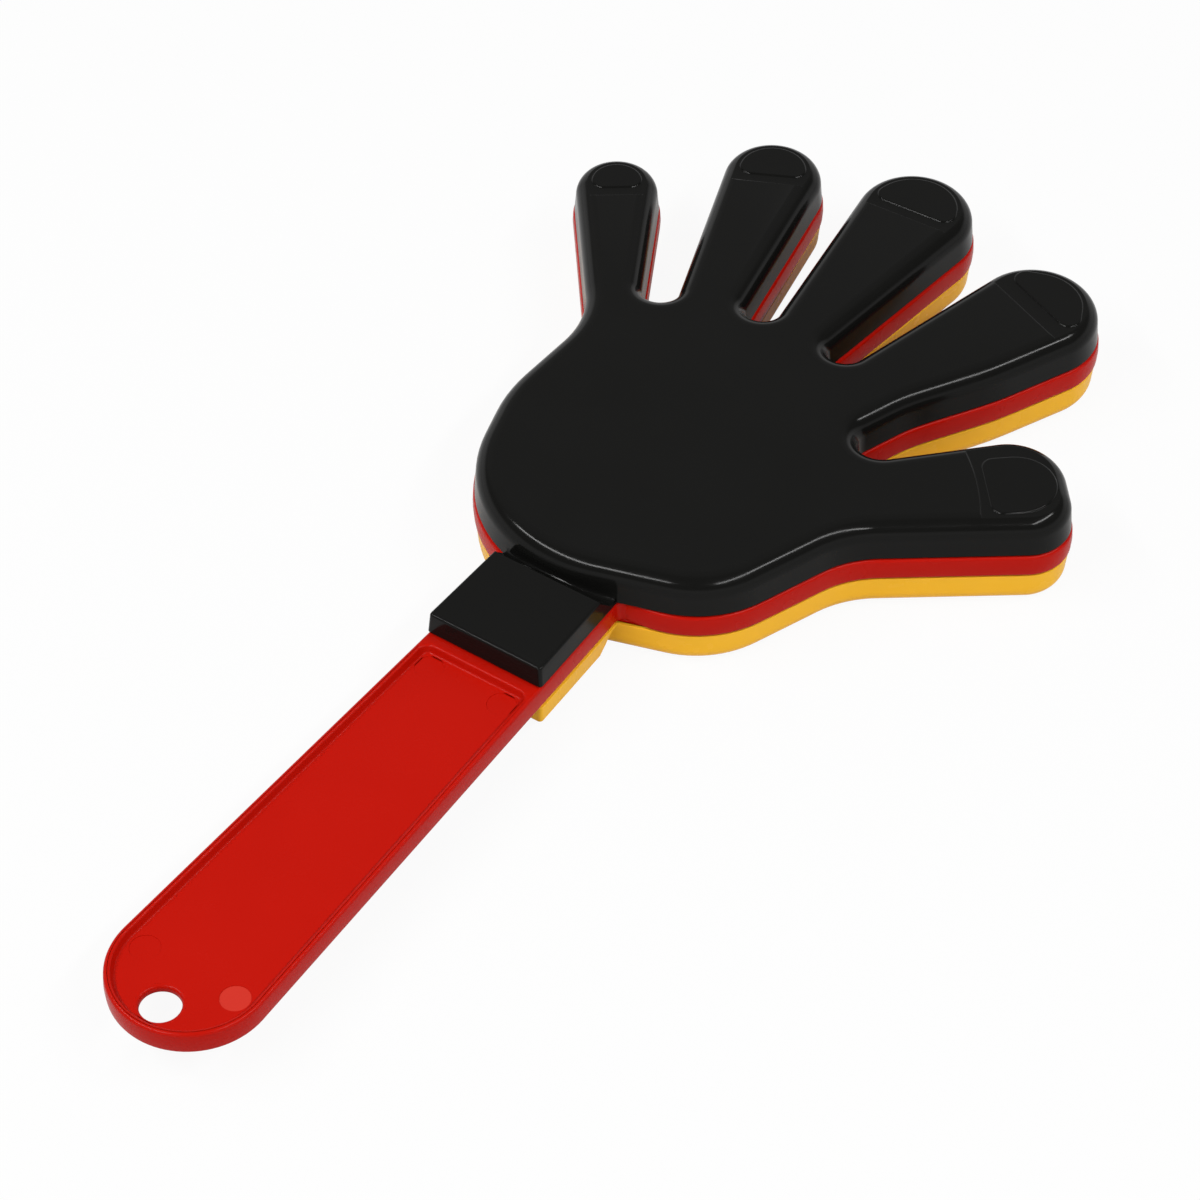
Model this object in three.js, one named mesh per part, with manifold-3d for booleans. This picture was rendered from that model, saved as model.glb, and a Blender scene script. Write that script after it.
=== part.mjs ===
// Hand clapper: a flat middle hand with its handle, and two hollow outer hands that flap on its wrist.
// Millimetres. +Y runs to the fingertips, +Z is up, and the part lies on the lower hand's palm at z = 0.

import * as THREE from 'three';
import { mergeVertices } from 'three/addons/utils/BufferGeometryUtils.js';
import Module from 'manifold-3d';

const wasm = await Module();
wasm.setup();

// Outline of the hand: circles joined by their common tangents, anticlockwise from the heel's right
// A bulge is a convex circle and a hollow is a concave one
const bulge = (x, y, r) => ({ x, y, r, s: 1 });
const hollow = (x, y, r) => ({ x, y, r, s: -1 });

const HEEL_RIGHT = bulge(15.4, -7.4, 23.3);
const THUMB_HOLLOW = hollow(62.4, -9.8, 21.2);
const THUMB_SIDE = bulge(68.3, 33.2, 10.1);
const THUMB_TIP = bulge(63.1, 35.6, 12.6);
const THUMB_WEB = hollow(35, 31.3, 4);
const INDEX_TIP = bulge(41.2, 83.5, 14.3);
const INDEX_WEB = hollow(14.7, 50.3, 2.8);
const MIDDLE_TIP = bulge(3.8, 96.1, 13.6);
const MIDDLE_WEB = hollow(-6.7, 51.6, 2.8);
const RING_TIP = bulge(-28.3, 89.4, 11.6);
const RING_WEB = hollow(-27.9, 44.6, 3);
const LITTLE_TIP = bulge(-54.3, 67.1, 9.8);
const LITTLE_HOLLOW = hollow(-60.3, 21, 23.3);
const PALM_LEFT = bulge(-0.3, 4.8, 37.5);
const HEEL_LEFT = bulge(-2.7, -2.8, 33.1);

// Handle
const NECK_HALF = 13.2;
const NECK_FILLET = 1.5;
const NECK_SPACE = 0.3;
const HANDLE_END_Y = -151.7;
const HANDLE_END_R = 16.3;
const HANG_HOLE_D = 8;
const HANG_HOLE_Y = HANDLE_END_Y - 9.1;

// Place of the wrist along the handle: the front of the outer hands' blocks
const BLOCK_FRONT_Y = -59.5;

// Middle hand: a web with a raised rim on both faces
const MIDDLE_T = 5.3;
const WEB_T = 2;
const RIM_W = 2.8;
const RIM_ROUND = 0.6;
const POCKET_DRAFT = 0.3;
const POCKET_ROUND = 0.5;
const BAND_FRONT_Y = BLOCK_FRONT_Y - 2.5;
const BAND_BACK_Y = BLOCK_FRONT_Y + 2.4;
const NECK_POCKET_BACK_Y = BLOCK_FRONT_Y + 20.4;
const POCKET_CORNER = 2;

// Ejector marks on the upper face of the handle's web
const MARK_D = 6.2;
const MARK_DEPTH = 0.15;
const MARK_FRONT = { x: 8.7, y: BAND_FRONT_Y - 3.7 };
const MARK_BACK = { x: 10.7, y: HANDLE_END_Y - 0.4 };

// Outer hands: open trays with a lower block over the wrist
const SEAT_GAP = 0.3;
const SHELL_H = 8.3;
const SHELL_WALL = 1.6;
const SHELL_INSET = 0.4;
const SHELL_DRAFT = 0.35;
const SHELL_ROUND = 4.2;
const BLOCK_H = 4.9;
const BLOCK_BACK_Y = BLOCK_FRONT_Y + 21.8;
const BLOCK_INSET = 0.1;
const BLOCK_DRAFT = 0.35;
const BLOCK_CORNER = 0.8;
const BLOCK_BACK_CORNER = 0.3;
const BLOCK_ROUND = 0.4;
const BLOCK_CAVITY_BACK = 0.5;

// The block's back slopes down into the heel: how far it has run at each height over the rim
const BLOCK_SLOPE = [
  { z: 0, run: 7.7 },
  { z: 0.3, run: 5.8 },
  { z: 1.2, run: 4.0 },
  { z: 3.1, run: 2.3 },
];

// Fingertips: a step down, with the nail left standing on it
const TIP_STEP = 0.3;
const NAIL_EDGE = 4.0;
const NAIL_CORNER = 2.0;
const STEP_BEHIND = 2.6;
const NAIL_DRAFT = 0.35;
const THUMB_NAIL = bulge(65.4, 34.3, 12.4);
const NAILS = [
  { tip: THUMB_NAIL, turn: -50, back: 6.3 },
  { tip: INDEX_TIP, turn: -23, back: 0.6 },
  { tip: MIDDLE_TIP, turn: 3, back: 1.5 },
  { tip: RING_TIP, turn: 26, back: 2.1 },
  { tip: LITTLE_TIP, turn: 36, back: 2.3 },
];

// Snap hinge: each outer hand rocks on the front lower edge of its block, held by two barbed prongs
const OPEN_ANGLE = 20;
const PRONG_BACK = 3.2;
const PRONG_T = 1.6;
const PRONG_W = 4.0;
const BARB_REACH = 2.7;
const BARB_T = 1.0;
const PRONG_SIDE_GAP = 0.6;
const PRONG_SWING_GAP = 0.2;
const PRONG_FRONT_GAP = 0.3;
const BARB_STOP_GAP = 0.1;
const LOWER_PRONG_X = 3.3;
const UPPER_PRONG_X = 7.9;

// Fineness of the arcs
const ARC_STEP = 15;

// Heights that follow from the sizes above
const MIDDLE_Z = SHELL_H + SEAT_GAP + MIDDLE_T / 2;
const HINGE_Y = BLOCK_FRONT_Y;
const HINGE_DZ = MIDDLE_T / 2 + SEAT_GAP;

// A belt round circles: its points with their outward normals
// Each arc has one step per so many degrees, or a fixed number where belts of one form are lofted
function belt(circles, { step = ARC_STEP, steps = 0 } = {}) {
  const n = circles.length;
  const normals = circles.map((a, i) => {
    const b = circles[(i + 1) % n];
    const dx = b.x - a.x;
    const dy = b.y - a.y;
    const k = (a.s * a.r - b.s * b.r) / Math.hypot(dx, dy);
    return Math.atan2(dy, dx) - Math.acos(THREE.MathUtils.clamp(k, -1, 1));
  });
  const points = [];
  circles.forEach((c, i) => {
    const start = normals[(i + n - 1) % n];
    const full = 2 * Math.PI;
    let turn = ((((normals[i] - start) * c.s) % full) + full) % full;
    if (turn > 1.75 * Math.PI) {
      turn = 0;
    }
    const pieces = steps || Math.max(1, Math.ceil(THREE.MathUtils.radToDeg(turn) / step - 0.01));
    for (let k = 0; k <= pieces; k += 1) {
      const angle = start + (c.s * turn * k) / pieces;
      const nx = Math.cos(angle);
      const ny = Math.sin(angle);
      points.push({ x: c.x + c.s * c.r * nx, y: c.y + c.s * c.r * ny, nx, ny });
    }
  });
  return points;
}

// The belt's ring at one height, moved inwards by an offset
function ring(points, z, offset = 0) {
  return points.map((p) => new THREE.Vector3(p.x - offset * p.nx, p.y - offset * p.ny, z));
}

// A closed solid through rings of equal length, from the lowest up, flat at both ends
function loft(rings) {
  const n = rings[0].length;
  const positions = rings.flat().flatMap((p) => [p.x, p.y, p.z]);
  const index = [];
  for (let k = 0; k < rings.length - 1; k += 1) {
    for (let i = 0; i < n; i += 1) {
      const a = k * n + i;
      const b = k * n + ((i + 1) % n);
      index.push(a, b, b + n, a, b + n, a + n);
    }
  }
  const cap = (layer) => {
    const flat = rings[layer].map((p) => new THREE.Vector2(p.x, p.y));
    return THREE.ShapeUtils.triangulateShape(flat, []);
  };
  for (const [a, b, c] of cap(0)) {
    index.push(a, c, b);
  }
  const top = (rings.length - 1) * n;
  for (const [a, b, c] of cap(rings.length - 1)) {
    index.push(top + a, top + b, top + c);
  }
  const geometry = new THREE.BufferGeometry();
  geometry.setAttribute('position', new THREE.Float32BufferAttribute(positions, 3));
  geometry.setIndex(index);
  return geometry;
}

// Geometry to solid and back, for joining and cutting
function solid(geometry) {
  const bare = geometry.clone();
  bare.deleteAttribute('normal');
  bare.deleteAttribute('uv');
  const merged = mergeVertices(bare, 1e-4);
  const mesh = new wasm.Mesh({
    numProp: 3,
    vertProperties: new Float32Array(merged.attributes.position.array),
    triVerts: new Uint32Array(merged.index.array),
  });
  return new wasm.Manifold(mesh);
}

function geometryOf(body) {
  const mesh = body.getMesh();
  const geometry = new THREE.BufferGeometry();
  geometry.setAttribute('position', new THREE.Float32BufferAttribute(mesh.vertProperties, 3));
  geometry.setIndex(Array.from(mesh.triVerts));
  return geometry;
}

// A block between two corners
function box(x0, x1, y0, y1, z0, z1) {
  const geometry = new THREE.BoxGeometry(x1 - x0, y1 - y0, z1 - z0);
  geometry.translate((x0 + x1) / 2, (y0 + y1) / 2, (z0 + z1) / 2);
  return geometry;
}

// A round cutter standing on a point
function post(x, y, diameter, z0, z1, sides) {
  const geometry = new THREE.CylinderGeometry(diameter / 2, diameter / 2, z1 - z0, sides);
  geometry.rotateX(Math.PI / 2);
  geometry.translate(x, y, (z0 + z1) / 2);
  return geometry;
}

// The same solid seen in the mirror of z = 0
function mirrored(geometry) {
  const copy = geometry.clone().applyMatrix4(new THREE.Matrix4().makeScale(1, 1, -1));
  const order = copy.index.array;
  for (let i = 0; i < order.length; i += 3) {
    const keep = order[i + 1];
    order[i + 1] = order[i + 2];
    order[i + 2] = keep;
  }
  return copy;
}

const FINGERS = [
  THUMB_HOLLOW, THUMB_SIDE, THUMB_TIP, THUMB_WEB, INDEX_TIP, INDEX_WEB, MIDDLE_TIP,
  MIDDLE_WEB, RING_TIP, RING_WEB, LITTLE_TIP, LITTLE_HOLLOW,
];
const PALM = [HEEL_RIGHT, ...FINGERS, PALM_LEFT, HEEL_LEFT];

// The small hollow where the neck runs into the heel
function neckHollow(side, heel) {
  const x = side * (NECK_HALF + NECK_FILLET);
  const reach = heel.r + NECK_FILLET + NECK_SPACE;
  return hollow(x, heel.y - Math.sqrt(reach ** 2 - (x - heel.x) ** 2), NECK_FILLET);
}

// Half the handle's width at a place along it: it widens evenly to its round end
const neckY = neckHollow(-1, HEEL_LEFT).y;
function handleHalf(y) {
  const share = (neckY - y) / (neckY - HANDLE_END_Y);
  return THREE.MathUtils.lerp(NECK_HALF, HANDLE_END_R, share);
}

// A belt round a straight-sided stretch of the handle with rounded corners
function neckBelt(y0, y1, inset, corner) {
  const corners = [
    [1, y0 + corner],
    [1, y1 - corner],
    [-1, y1 - corner],
    [-1, y0 + corner],
  ];
  const circles = corners.map(([side, y]) => bulge(side * (handleHalf(y) - inset - corner), y, corner));
  return belt(circles, { step: 30 });
}

// A pocket's cutter, upright over one face: a rounded floor edge, drafted sides and an eased mouth
function pocketCutter(points) {
  const floor = WEB_T / 2;
  const face = MIDDLE_T / 2;
  return loft([
    ring(points, floor, POCKET_DRAFT + POCKET_ROUND),
    ring(points, floor + POCKET_ROUND / 2, POCKET_DRAFT),
    ring(points, face - POCKET_ROUND, 0),
    ring(points, face, -POCKET_ROUND),
    ring(points, face + 1, -POCKET_ROUND),
  ]);
}

// Reach of the turned prong along y, measured behind the hinge, at the far face of the web
function prongSwing() {
  const angle = THREE.MathUtils.degToRad(OPEN_ANGLE);
  const back = PRONG_BACK + PRONG_T;
  const drop = HINGE_DZ + WEB_T / 2;
  const along = (drop + back * Math.sin(angle)) / Math.cos(angle);
  return back * Math.cos(angle) + along * Math.sin(angle);
}

// Depth of the barb's catching face below the hinge, so that it stops against the web when open
function barbDepth() {
  const angle = THREE.MathUtils.degToRad(OPEN_ANGLE);
  const tip = PRONG_BACK + PRONG_T + BARB_REACH;
  const drop = HINGE_DZ + WEB_T / 2 + BARB_STOP_GAP;
  return (drop + tip * Math.sin(angle)) / Math.cos(angle);
}

// Middle hand, modelled about its own middle plane
function middleHand() {
  const right = neckHollow(1, HEEL_RIGHT);
  const left = neckHollow(-1, HEEL_LEFT);
  const handleEnd = bulge(0, HANDLE_END_Y, HANDLE_END_R);
  const outline = belt([...PALM, left, handleEnd, right]);
  const face = MIDDLE_T / 2;
  const sides = [
    [face, RIM_ROUND],
    [face - RIM_ROUND * 0.3, RIM_ROUND * 0.3],
    [face - RIM_ROUND, 0.06],
  ];
  const rings = [
    ...sides.map(([z, offset]) => ring(outline, -z, offset)),
    ring(outline, 0),
    ...sides.reverse().map(([z, offset]) => ring(outline, z, offset)),
  ];
  let body = solid(loft(rings));

  const frontCorners = [1, -1].map((side) => {
    const y = BAND_FRONT_Y - POCKET_CORNER;
    return bulge(side * (handleHalf(y) - RIM_W - POCKET_CORNER), y, POCKET_CORNER);
  });
  const pocketEnd = bulge(0, HANDLE_END_Y, HANDLE_END_R - RIM_W);
  const handlePocket = belt([pocketEnd, ...frontCorners], { step: 15 });
  const neckPocket = neckBelt(BAND_BACK_Y, NECK_POCKET_BACK_Y, RIM_W, POCKET_CORNER);
  const palmPocket = belt(PALM).map((p) => ({ ...p, x: p.x - RIM_W * p.nx, y: p.y - RIM_W * p.ny }));
  for (const points of [handlePocket, neckPocket, palmPocket]) {
    const cutter = pocketCutter(points);
    body = body.subtract(solid(cutter)).subtract(solid(mirrored(cutter)));
  }

  body = body.subtract(solid(post(0, HANG_HOLE_Y, HANG_HOLE_D, -MIDDLE_T, MIDDLE_T, 32)));
  for (const mark of [MARK_FRONT, MARK_BACK]) {
    for (const side of [1, -1]) {
      const floor = WEB_T / 2 - MARK_DEPTH;
      body = body.subtract(solid(post(side * mark.x, mark.y, MARK_D, floor, MIDDLE_T, 24)));
    }
  }

  const y0 = HINGE_Y + PRONG_BACK - PRONG_FRONT_GAP;
  const y1 = HINGE_Y + prongSwing() + PRONG_SWING_GAP;
  const inner = LOWER_PRONG_X - PRONG_W / 2 - PRONG_SIDE_GAP;
  const outer = UPPER_PRONG_X + PRONG_W / 2 + PRONG_SIDE_GAP;
  body = body.subtract(solid(box(inner, outer, y0, y1, -MIDDLE_T, MIDDLE_T)));
  body = body.subtract(solid(box(-outer, -inner, y0, y1, -MIDDLE_T, MIDDLE_T)));
  return geometryOf(body);
}

// A barbed prong in profile: y behind the hinge and z from it, given width across x
function prong(x, ceiling) {
  const depth = barbDepth();
  const back = PRONG_BACK + PRONG_T;
  const profile = new THREE.Shape([
    new THREE.Vector2(PRONG_BACK, ceiling),
    new THREE.Vector2(PRONG_BACK, -depth - BARB_T),
    new THREE.Vector2(back, -depth - BARB_T),
    new THREE.Vector2(back + BARB_REACH, -depth - BARB_T * 0.4),
    new THREE.Vector2(back + BARB_REACH, -depth),
    new THREE.Vector2(back, -depth),
    new THREE.Vector2(back, ceiling),
  ]);
  const geometry = new THREE.ExtrudeGeometry(profile, { depth: PRONG_W, bevelEnabled: false });
  geometry.applyMatrix4(new THREE.Matrix4().makeBasis(
    new THREE.Vector3(0, 1, 0),
    new THREE.Vector3(0, 0, 1),
    new THREE.Vector3(1, 0, 0),
  ));
  geometry.translate(x - PRONG_W / 2, HINGE_Y, 0);
  return mergeVertices(geometry);
}

// The block over the wrist, lofted through levels of height, inset and back end
function wristBlock(grow, levels) {
  const front = Math.max(BLOCK_CORNER - grow, BLOCK_BACK_CORNER);
  return loft(levels.map(([z, inset, back]) => {
    const place = (side, y, corner) => {
      const half = handleHalf(y) - BLOCK_INSET - grow - inset;
      return bulge(side * (half - corner), y, corner);
    };
    const start = BLOCK_FRONT_Y + grow + inset + front;
    const circles = [
      place(1, start, front),
      place(1, back - BLOCK_BACK_CORNER, BLOCK_BACK_CORNER),
      place(-1, back - BLOCK_BACK_CORNER, BLOCK_BACK_CORNER),
      place(-1, start, front),
    ];
    return ring(belt(circles, { steps: 3 }), z);
  }));
}

// Outside of the block: drafted sides, a level top and the slope down to the heel
function blockOutside() {
  const round = BLOCK_ROUND;
  return wristBlock(0, [
    ...BLOCK_SLOPE.map(({ z, run }) => [z, (BLOCK_DRAFT * z) / BLOCK_H, BLOCK_BACK_Y + run]),
    [BLOCK_H - round, BLOCK_DRAFT * 0.9, BLOCK_BACK_Y + round / 2],
    [BLOCK_H - round * 0.3, BLOCK_DRAFT * 0.9 + round * 0.3, BLOCK_BACK_Y],
    [BLOCK_H, BLOCK_DRAFT * 0.9 + round, BLOCK_BACK_Y - round / 2],
  ]);
}

// Inside of the block, open below
function blockInside() {
  const ceiling = BLOCK_H - SHELL_WALL;
  const back = BLOCK_BACK_Y - BLOCK_CAVITY_BACK;
  return wristBlock(SHELL_WALL, [
    [-1, 0, back],
    [ceiling - BLOCK_ROUND, BLOCK_DRAFT / 2, back],
    [ceiling, BLOCK_DRAFT / 2 + BLOCK_ROUND, back - BLOCK_ROUND],
  ]);
}

// One nail: a D with its straight side behind the fingertip's centre
function nailBelt(nail) {
  const turn = THREE.MathUtils.degToRad(nail.turn);
  const r = nail.tip.r - SHELL_INSET - NAIL_EDGE;
  const corner = NAIL_CORNER;
  const place = (u, v, radius) => bulge(
    nail.tip.x + u * Math.cos(turn) - v * Math.sin(turn),
    nail.tip.y + u * Math.sin(turn) + v * Math.cos(turn),
    radius,
  );
  return belt([
    place(corner - r, corner - nail.back, corner),
    place(r - corner, corner - nail.back, corner),
    place(0, 0, r),
  ], { step: 20 });
}

// The step round a nail: everything of the fingertip beyond a line behind the nail
function tipStep(nail, top) {
  const turn = THREE.MathUtils.degToRad(nail.turn);
  const far = nail.tip.r + 2;
  const back = nail.back + STEP_BEHIND;
  const geometry = box(-far, far, -back, far, top - TIP_STEP, top + TIP_STEP);
  geometry.rotateZ(turn);
  geometry.translate(nail.tip.x, nail.tip.y, 0);
  const points = nailBelt(nail);
  const island = loft([
    ring(points, top - 2 * TIP_STEP),
    ring(points, top - TIP_STEP),
    ring(points, top, NAIL_DRAFT),
    ring(points, top + 2 * TIP_STEP, NAIL_DRAFT),
  ]);
  return solid(geometry).subtract(solid(island));
}

// Outer hand, modelled palm up with its rim plane at z = 0
function outerHand(prongX) {
  const palm = belt(PALM);
  const outer = [
    [0, SHELL_INSET],
    [SHELL_H - SHELL_ROUND, SHELL_INSET + SHELL_DRAFT],
  ];
  for (const degrees of [30, 60, 90]) {
    const angle = THREE.MathUtils.degToRad(degrees);
    const rise = SHELL_H - SHELL_ROUND * (1 - Math.sin(angle));
    outer.push([rise, SHELL_INSET + SHELL_DRAFT + SHELL_ROUND * (1 - Math.cos(angle))]);
  }
  let body = solid(loft(outer.map(([z, offset]) => ring(palm, z, offset))));
  body = body.add(solid(blockOutside()));

  const ceiling = SHELL_H - SHELL_WALL;
  const inside = SHELL_INSET + SHELL_WALL;
  const round = SHELL_ROUND - SHELL_WALL;
  const cavity = loft([
    ring(palm, -1, inside),
    ring(palm, 0, inside),
    ring(palm, ceiling - round, inside + SHELL_DRAFT),
    ring(palm, ceiling, inside + SHELL_DRAFT + round),
  ]);
  body = body.subtract(solid(cavity)).subtract(solid(blockInside()));

  for (const nail of NAILS) {
    body = body.subtract(tipStep(nail, SHELL_H));
  }
  for (const side of [1, -1]) {
    body = body.add(solid(prong(side * prongX, BLOCK_H - SHELL_WALL / 2)));
  }
  const geometry = geometryOf(body);
  geometry.translate(0, -HINGE_Y, 0);
  return geometry;
}

// The scene: each outer hand hangs in a group that stands on its hinge
function plastic(name, colour, roughness) {
  return new THREE.MeshStandardMaterial({ name, color: colour, roughness, metalness: 0 });
}

function node(name, geometry, material) {
  const mesh = new THREE.Mesh(geometry, material);
  mesh.name = name;
  return mesh;
}

const clapper = new THREE.Group();
clapper.name = 'hand_clapper';

const middle = node('middle_hand', middleHand(), plastic('red_polystyrene', 0xc41e14, 0.4));
middle.position.z = MIDDLE_Z;
clapper.add(middle);

const upperHinge = new THREE.Group();
upperHinge.name = 'upper_hinge';
upperHinge.position.set(0, HINGE_Y, MIDDLE_Z + HINGE_DZ);
upperHinge.add(node('upper_hand', outerHand(UPPER_PRONG_X), plastic('black_polystyrene', 0x1d1d1b, 0.35)));
clapper.add(upperHinge);

const lowerHinge = new THREE.Group();
lowerHinge.name = 'lower_hinge';
lowerHinge.position.set(0, HINGE_Y, MIDDLE_Z - HINGE_DZ);
const lowerSolid = mirrored(outerHand(LOWER_PRONG_X));
lowerHinge.add(node('lower_hand', lowerSolid, plastic('yellow_polystyrene', 0xe4ac30, 0.4)));
clapper.add(lowerHinge);

export default clapper;
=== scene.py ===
"""Looks of the hand clapper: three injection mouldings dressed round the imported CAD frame.

The middle hand with its handle and the two hollow outer hands are rebuilt from the same outline
and sizes as the CAD solids, with finer arcs, rounded edges and stepped fingertips.
Sizes are millimetres until a mesh is made, which is in metres in the frame's own axes.
"""

import logging
import math
from collections.abc import Iterable, Sequence
from dataclasses import dataclass
from enum import Enum

import bmesh
import bpy
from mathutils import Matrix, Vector
from mathutils.geometry import tessellate_polygon


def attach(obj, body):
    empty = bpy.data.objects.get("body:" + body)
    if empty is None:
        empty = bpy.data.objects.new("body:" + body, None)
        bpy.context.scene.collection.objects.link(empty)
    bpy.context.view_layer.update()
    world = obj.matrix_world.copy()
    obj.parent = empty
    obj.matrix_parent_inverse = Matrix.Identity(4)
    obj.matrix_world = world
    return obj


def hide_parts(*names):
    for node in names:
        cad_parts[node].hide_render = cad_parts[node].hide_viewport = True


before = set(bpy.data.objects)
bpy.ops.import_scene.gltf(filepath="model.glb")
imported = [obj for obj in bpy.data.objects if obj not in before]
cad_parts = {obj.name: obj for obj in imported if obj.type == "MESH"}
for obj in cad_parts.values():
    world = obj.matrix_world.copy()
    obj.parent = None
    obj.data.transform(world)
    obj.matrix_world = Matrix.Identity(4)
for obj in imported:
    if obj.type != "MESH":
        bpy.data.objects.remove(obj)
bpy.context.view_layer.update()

LOG = logging.getLogger("hand_clapper")
MM = 0.001

Point = tuple[float, float, float]
Place = tuple[float, float]
Tree = bpy.types.NodeTree
Socket = bpy.types.NodeSocket


# ---------------------------------------------------------------- outline


@dataclass(frozen=True)
class Arc:
    """A circle that an outline runs round: a bulge where sign is 1, a hollow where it is -1."""

    x: float
    y: float
    r: float
    sign: int = 1


@dataclass(frozen=True)
class EdgePoint:
    """A point of an outline with its outward normal.

    Its drop is the share of a fingertip's step by which the top is lowered there.
    """

    x: float
    y: float
    nx: float
    ny: float
    drop: float = 0.0


HEEL_RIGHT = Arc(15.4, -7.4, 23.3)
THUMB_HOLLOW = Arc(62.4, -9.8, 21.2, -1)
THUMB_SIDE = Arc(68.3, 33.2, 10.1)
THUMB_TIP = Arc(63.1, 35.6, 12.6)
THUMB_WEB = Arc(35.3, 31.2, 4, -1)
INDEX_ROOT = Arc(68.8, 27.2, 36.8, -1)
INDEX_SIDE = Arc(-14.7, 93.9, 69.3)
INDEX_TIP = Arc(41.2, 83.5, 14.3)
INDEX_WEB = Arc(14.7, 50.3, 2.8, -1)
MIDDLE_TIP = Arc(3.8, 96.1, 13.6)
MIDDLE_WEB = Arc(-6.7, 51.6, 2.8, -1)
RING_TIP = Arc(-28.3, 89.4, 11.6)
RING_WEB = Arc(-27.9, 44.6, 3, -1)
LITTLE_TIP = Arc(-54.3, 67.1, 9.8)
LITTLE_HOLLOW = Arc(-60.3, 21, 23.3, -1)
PALM_LEFT = Arc(-0.3, 4.8, 37.5)
HEEL_LEFT = Arc(-2.7, -2.8, 33.1)
PALM = (
    HEEL_RIGHT, THUMB_HOLLOW, THUMB_SIDE, THUMB_TIP, THUMB_WEB, INDEX_ROOT, INDEX_SIDE, INDEX_TIP,
    INDEX_WEB, MIDDLE_TIP, MIDDLE_WEB, RING_TIP, RING_WEB, LITTLE_TIP, LITTLE_HOLLOW, PALM_LEFT,
    HEEL_LEFT,
)
# Share of a step by which an arc may be longer without another piece
STEP_SLACK = 0.01
# A turn past this is a rounding error: the outline only touches such a circle
FULL_TURN = 1.75 * math.pi
# The visible sides lie this far inside the solids', so that finer arcs stay within their box
SKIN_INSET = 0.13


def belt(arcs: Sequence[Arc], step: float = 4.0) -> list[EdgePoint]:
    """Runs an outline round circles by their common tangents, anticlockwise.

    Args:
        arcs: the circles in order.
        step: degrees of arc from one point to the next.

    Returns:
        The outline's points with their outward normals.
    """
    tangents = []
    for i, a in enumerate(arcs):
        b = arcs[(i + 1) % len(arcs)]
        dx, dy = b.x - a.x, b.y - a.y
        share = (a.sign * a.r - b.sign * b.r) / math.hypot(dx, dy)
        tangents.append(math.atan2(dy, dx) - math.acos(max(-1.0, min(1.0, share))))
    points = []
    for i, arc in enumerate(arcs):
        start = tangents[i - 1]
        turn = ((tangents[i] - start) * arc.sign) % math.tau
        if turn > FULL_TURN:
            turn = 0.0
        pieces = max(1, math.ceil(math.degrees(turn) / step - STEP_SLACK))
        for k in range(pieces + 1):
            angle = start + arc.sign * turn * k / pieces
            nx, ny = math.cos(angle), math.sin(angle)
            reach = arc.sign * arc.r
            points.append(EdgePoint(arc.x + reach * nx, arc.y + reach * ny, nx, ny))
    return points


def between(a: EdgePoint, b: EdgePoint, share: float, drop: float = 0.0) -> EdgePoint:
    """Works out the outline's point at a share of the way from one point to the next.

    Args:
        a: the first point.
        b: the next point.
        share: how far from the first to the next, 0 to 1.
        drop: the new point's drop.

    Returns:
        The point, with a normal of length 1.
    """
    nx, ny = a.nx + (b.nx - a.nx) * share, a.ny + (b.ny - a.ny) * share
    size = math.hypot(nx, ny)
    x, y = a.x + (b.x - a.x) * share, a.y + (b.y - a.y) * share
    return EdgePoint(x, y, nx / size, ny / size, drop)


def at(points: Iterable[EdgePoint], z: float, offset: float) -> list[Point]:
    """Returns an outline moved inwards by an offset, at one height."""
    return [(p.x - offset * p.nx, p.y - offset * p.ny, z) for p in points]


def circle(x: float, y: float, radius: float, z: float, sides: int = 48) -> list[Point]:
    """Returns a ring of points round an upright axis."""
    turns = (math.tau * k / sides for k in range(sides))
    return [(x + radius * math.cos(t), y + radius * math.sin(t), z) for t in turns]


# ---------------------------------------------------------------- meshes

# Points nearer than this, in millimetres, are sewn into one
SEW_DISTANCE = 1e-5
# Faces nearer than this, in millimetres, count as being on one level
LEVEL_DISTANCE = 0.01
# Edges that turn by more than this are shaded sharp
SHARP_ANGLE = math.radians(28)
# A narrow level ring beside each rounding keeps the shading of the flat next to it flat
HOLD = 0.12


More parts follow.
